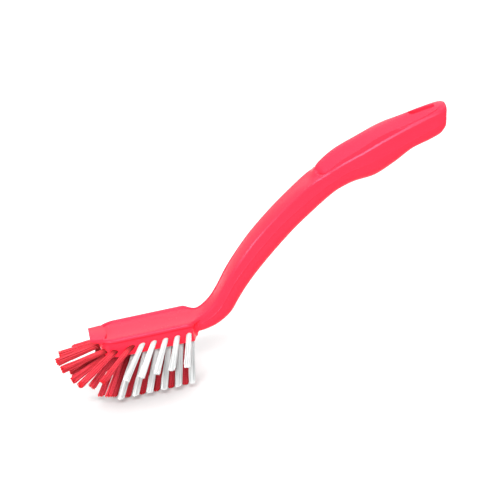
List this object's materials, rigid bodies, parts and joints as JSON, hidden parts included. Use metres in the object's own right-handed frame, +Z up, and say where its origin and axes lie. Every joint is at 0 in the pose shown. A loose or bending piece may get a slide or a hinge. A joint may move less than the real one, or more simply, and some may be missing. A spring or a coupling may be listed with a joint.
{
  "type": "dish brush",
  "caption": "Dish brush moulded in one piece with a curved handle, hanging slot and scraping edge, with rows and a nose fan of bristle tufts.",
  "frame": {"origin": "middle of the brush's footprint, at the height of the lowest bristle tips, with the head level and the bristles down", "axes": "+X from the nose to the end of the handle, +Y to the right of whoever holds it, +Z up"},
  "size_m": [0.249, 0.0514, 0.1464],
  "materials": {
    "red_plastic": "moulded coral-red polypropylene, satin to glossy",
    "red_filament": "translucent red polyester filament",
    "white_filament": "white polyester filament"
  },
  "bodies": {
    "root": {"handle_and_head": "red_plastic", "tuft_centre_1": "red_filament", "tuft_centre_2": "red_filament", "tuft_centre_3": "red_filament", "tuft_centre_4": "red_filament", "tuft_centre_5": "red_filament", "tuft_centre_6": "red_filament", "tuft_centre_7": "red_filament", "tuft_front_left_1": "red_filament", "tuft_front_left_2": "red_filament", "tuft_front_right_1": "red_filament", "tuft_front_right_2": "red_filament", "tuft_inner_left_1": "white_filament", "tuft_inner_left_2": "white_filament", "tuft_inner_left_3": "white_filament", "tuft_inner_left_4": "white_filament", "tuft_inner_left_5": "white_filament", "tuft_inner_left_6": "white_filament", "tuft_inner_left_7": "red_filament", "tuft_inner_right_1": "white_filament", "tuft_inner_right_2": "white_filament", "tuft_inner_right_3": "white_filament", "tuft_inner_right_4": "white_filament", "tuft_inner_right_5": "white_filament", "tuft_inner_right_6": "white_filament", "tuft_inner_right_7": "red_filament", "tuft_nose_left_2": "red_filament", "tuft_nose_left_3": "red_filament", "tuft_nose_middle_1": "red_filament", "tuft_nose_right_2": "red_filament", "tuft_nose_right_3": "red_filament", "tuft_outer_left_1": "white_filament", "tuft_outer_left_2": "white_filament", "tuft_outer_left_3": "white_filament", "tuft_outer_left_4": "white_filament", "tuft_outer_left_5": "white_filament", "tuft_outer_left_6": "red_filament", "tuft_outer_right_1": "white_filament", "tuft_outer_right_2": "white_filament", "tuft_outer_right_3": "white_filament", "tuft_outer_right_4": "white_filament", "tuft_outer_right_5": "white_filament", "tuft_outer_right_6": "red_filament"}
  },
  "joints": []
}
